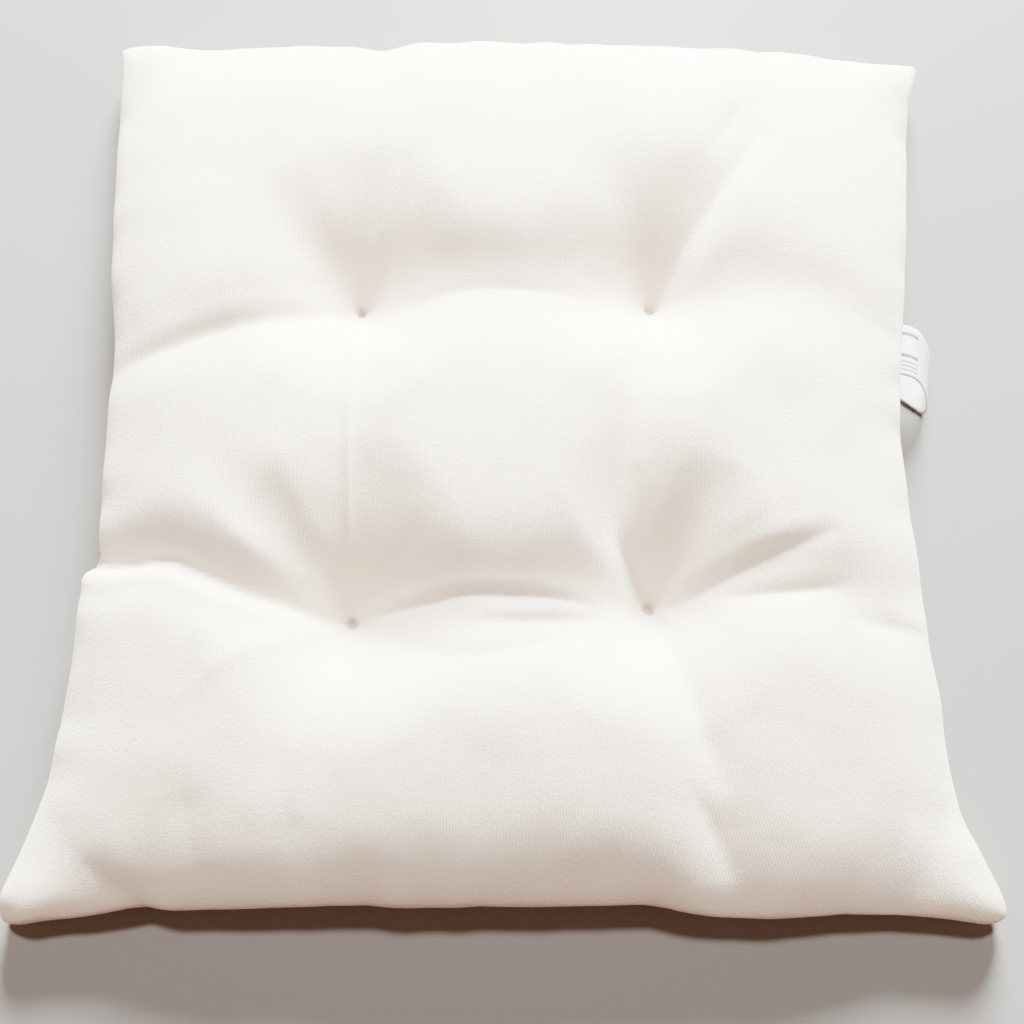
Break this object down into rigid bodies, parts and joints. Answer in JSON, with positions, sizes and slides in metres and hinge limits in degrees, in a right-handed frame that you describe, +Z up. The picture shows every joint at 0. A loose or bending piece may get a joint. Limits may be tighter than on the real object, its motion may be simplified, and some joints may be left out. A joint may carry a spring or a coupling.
{
  "type": "chair seat pad",
  "caption": "Square cream seat pad, fibre filled and sewn at the sides, tacked through to form soft lobes, with pointed corners and a folded side label.",
  "frame": {"origin": "centre of the plane the pad rests on, midway between the corner points both ways", "axes": "+Z up, +Y towards the back side, +X towards the side with the label; the underside rests on Z = 0"},
  "size_m": [0.4, 0.4, 0.057],
  "materials": {
    "cover": "cream brushed velour knit with fine ribs",
    "fill": "loose white polyester fibre",
    "thread": "cream polyester sewing thread",
    "tack_thread": "thick waxed cream thread",
    "label": "white satin ribbon"
  },
  "bodies": {
    "root": {"top_cover": "cover", "bottom_cover": "cover", "fibre_fill": "fill", "seam_needle_thread": "thread", "seam_bobbin_thread": "thread", "overlock_thread": "thread", "closing_thread": "thread", "tuft_thread_back_left": "tack_thread", "tuft_thread_back_right": "tack_thread", "tuft_thread_front_left": "tack_thread", "tuft_thread_front_right": "tack_thread", "side_label": "label"}
  },
  "joints": []
}
